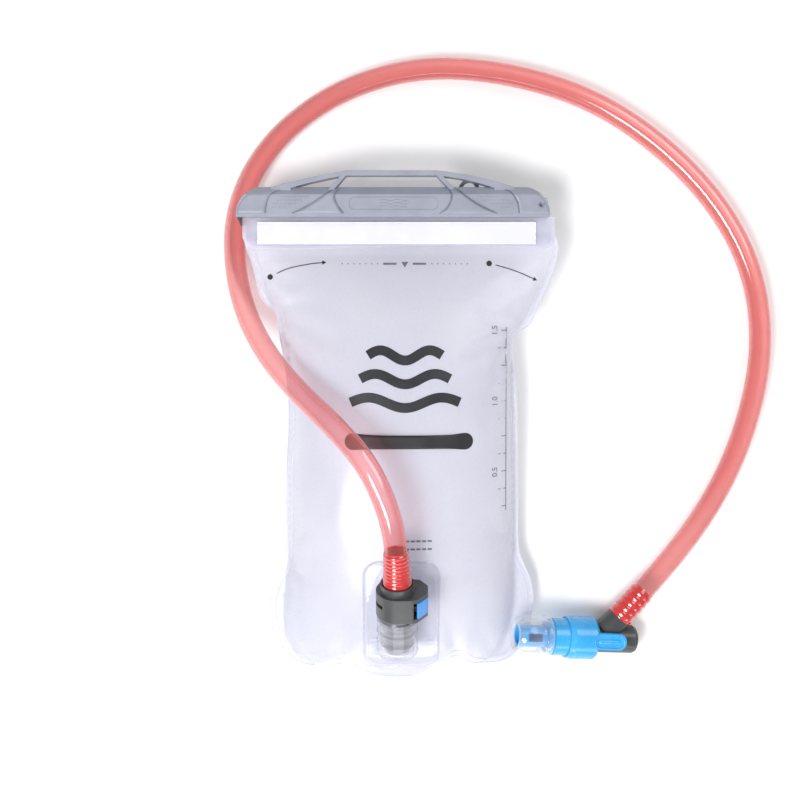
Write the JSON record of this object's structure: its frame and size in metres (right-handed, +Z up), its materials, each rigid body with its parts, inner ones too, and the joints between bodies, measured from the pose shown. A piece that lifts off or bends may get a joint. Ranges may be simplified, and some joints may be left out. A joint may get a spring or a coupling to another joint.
{
  "type": "hydration bladder",
  "caption": "Film drinking-water bladder with a fold-over mouth under a sliding bar, a plug-in drinking hose and a bite valve.",
  "frame": {"origin": "centre of the footprint of the bag and its slider, on the surface that the bag lies on", "axes": "+Z up from the surface, +Y from the bag's lower end towards the slider, +X towards the side that the slider closes on"},
  "size_m": [0.296, 0.3353, 0.0734],
  "materials": {
    "film": "milky translucent film, satin",
    "soft_port": "clear moulded film",
    "white_strip": "smooth white",
    "guide_rail": "smooth white",
    "slider_grey": "silver grey, fine texture",
    "dark_stop": "dark",
    "port_grey": "mid grey",
    "seal_rubber": "black",
    "poppet_plastic": "white",
    "spring_steel": "bright wire",
    "charcoal": "charcoal, fine texture",
    "core_plastic": "mid grey",
    "blue_button": "satin blue",
    "latch_steel": "stamped sheet",
    "hose_red": "clear coral red tube",
    "cuff_red": "deeper red moulding",
    "blue_valve": "satin blue",
    "clear_silicone": "clear soft silicone"
  },
  "bodies": {
    "bag": {"front_film": "film", "back_film": "film", "port_patch": "soft_port", "port_boot": "soft_port", "guide_rail": "guide_rail", "mouth_strip_outer": "white_strip", "mouth_strip_inner": "white_strip", "port_spigot": "port_grey", "spigot_o_ring": "seal_rubber", "poppet_spring": "spring_steel"},
    "slider": {"slider_bar": "slider_grey", "slider_handle": "slider_grey", "tether_eyelet": "slider_grey", "slider_stop": "dark_stop"},
    "poppet": {"port_poppet": "poppet_plastic"},
    "tube": {"coupling_shell": "charcoal", "coupling_core": "core_plastic", "latch_spring": "spring_steel", "drinking_hose": "hose_red", "hose_cuff_port": "cuff_red", "hose_cuff_valve": "cuff_red", "valve_elbow": "charcoal", "valve_o_ring_inner": "seal_rubber", "valve_o_ring_outer": "seal_rubber"},
    "button": {"release_button": "blue_button", "latch_plate": "latch_steel"},
    "mouthpiece": {"shutoff_collar": "blue_valve", "mouth_barrel": "blue_valve", "bite_sheath": "clear_silicone"}
  },
  "joints": [
    {"name": "slider_slide", "type": "slide", "parent": "bag", "child": "slider", "axis": [1, 0, 0], "range_m": [-0.15, 0]},
    {"name": "tube_unplug", "type": "slide", "parent": "bag", "child": "tube", "axis": [0, 0.9135, 0.4067], "range_m": [0, 0.0105]},
    {"name": "poppet_lift", "type": "slide", "parent": "bag", "child": "poppet", "axis": [0, 0.9135, 0.4067], "range_m": [0, 0.0028], "deforming": ["poppet_spring"]},
    {"name": "button_press", "type": "slide", "parent": "tube", "child": "button", "axis": [-1, 0, 0], "range_m": [0, 0.0012], "stiffness_N_per_m": 900, "springref_m": -0.001, "deforming": ["latch_spring"]},
    {"name": "valve_twist", "type": "hinge", "parent": "tube", "child": "mouthpiece", "pos_m": [0.1271, -0.1139, 0.0076], "axis": [0.9718, -0.0714, -0.225], "range_deg": [0, 90]}
  ],
  "couplings": [
    {"joint": "poppet_lift", "follows": "tube_unplug", "ratio": 0.26667}
  ]
}
